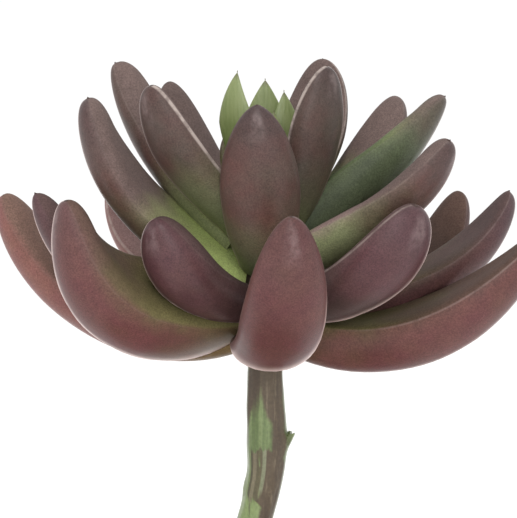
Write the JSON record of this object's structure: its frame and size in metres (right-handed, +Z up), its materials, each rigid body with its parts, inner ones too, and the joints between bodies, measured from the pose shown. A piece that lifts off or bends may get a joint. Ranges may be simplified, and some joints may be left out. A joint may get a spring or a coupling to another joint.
{
  "type": "potted aeonium",
  "caption": "Potted aeonium: an open rosette of thick purple-green leaves on a bare leaning stem, in a plain terracotta pot of gritty mix that stands on its flat foot.",
  "frame": {"origin": "centre of the pot's foot, on the surface that the pot stands on", "axes": "+Z up along the pot's axis; the front of the plant faces -Y and +X is to its right, where the stem leans"},
  "size_m": [0.1556, 0.1307, 0.2676],
  "materials": {
    "terracotta": "matte",
    "potting_mix": "matte",
    "stem": "matte",
    "leaf_outer": "satin",
    "leaf_middle": "satin",
    "leaf_inner": "satin",
    "leaf_core": "satin",
    "leaf_young": "satin"
  },
  "bodies": {
    "root": {"pot": "terracotta", "potting_mix": "potting_mix", "stem": "stem", "leaf_outer_1": "leaf_outer", "leaf_outer_2": "leaf_outer", "leaf_outer_3": "leaf_outer", "leaf_outer_4": "leaf_outer", "leaf_outer_5": "leaf_outer", "leaf_outer_6": "leaf_outer", "leaf_middle_1": "leaf_middle", "leaf_middle_2": "leaf_middle", "leaf_middle_3": "leaf_middle", "leaf_middle_4": "leaf_middle", "leaf_middle_5": "leaf_middle", "leaf_middle_6": "leaf_middle", "leaf_middle_7": "leaf_middle", "leaf_inner_1": "leaf_inner", "leaf_inner_2": "leaf_inner", "leaf_inner_3": "leaf_inner", "leaf_inner_4": "leaf_inner", "leaf_inner_5": "leaf_inner", "leaf_inner_6": "leaf_inner", "leaf_inner_7": "leaf_inner", "leaf_inner_8": "leaf_inner", "leaf_inner_9": "leaf_inner", "leaf_inner_10": "leaf_inner", "leaf_inner_11": "leaf_inner", "leaf_inner_12": "leaf_inner", "leaf_core_1": "leaf_core", "leaf_core_2": "leaf_core", "leaf_core_3": "leaf_core", "leaf_core_4": "leaf_core", "leaf_core_5": "leaf_core", "leaf_core_6": "leaf_core", "growing_tip": "leaf_young"}
  },
  "joints": []
}
